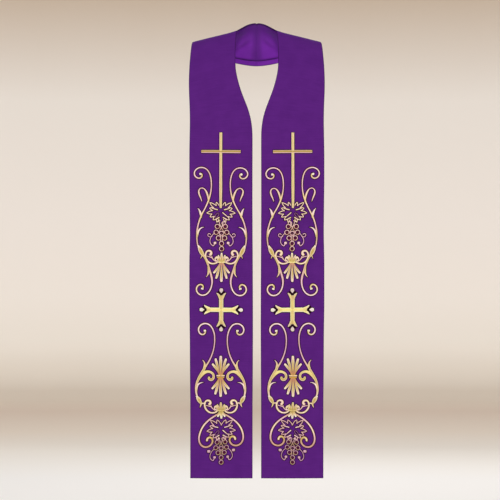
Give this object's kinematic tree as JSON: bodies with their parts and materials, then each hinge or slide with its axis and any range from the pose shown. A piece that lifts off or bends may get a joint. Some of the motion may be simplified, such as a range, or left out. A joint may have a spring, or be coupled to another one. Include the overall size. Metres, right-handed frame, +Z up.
{
  "type": "clerical stole, worn",
  "caption": "Clerical stole in worn form: a lined band round the back of the neck and two straight hanging fronts with raised gold embroidery, open at neck and hem.",
  "frame": {"origin": "where the wearer's shoulders hold the stole up: midway between them, at the height of the fold where each side of the neck meets a shoulder", "axes": "+Z up, the front faces -Y, +X is the wearer's left"},
  "size_m": [0.396, 0.2188, 1.3346],
  "materials": {
    "face_cloth": "matte deep purple wool-look weave, turned to the back at the edges",
    "lining": "brighter purple satin",
    "gold_embroidery": "padded satin stitch in gold thread with paler and darker shades",
    "black_thread": "black satin stitch",
    "pale_thread": "pale pinkish gold outline stitch"
  },
  "bodies": {
    "root": {"left_band": "face_cloth", "left_lining": "lining", "left_tall_cross": "gold_embroidery", "left_upper_scrolls": "gold_embroidery", "left_budded_cross": "gold_embroidery", "left_fan_palmette": "gold_embroidery", "left_lower_scrolls": "gold_embroidery", "right_band": "face_cloth", "right_lining": "lining", "right_tall_cross": "gold_embroidery", "right_upper_scrolls": "gold_embroidery", "right_budded_cross": "gold_embroidery", "right_fan_palmette": "gold_embroidery", "right_lower_scrolls": "gold_embroidery"}
  },
  "joints": []
}
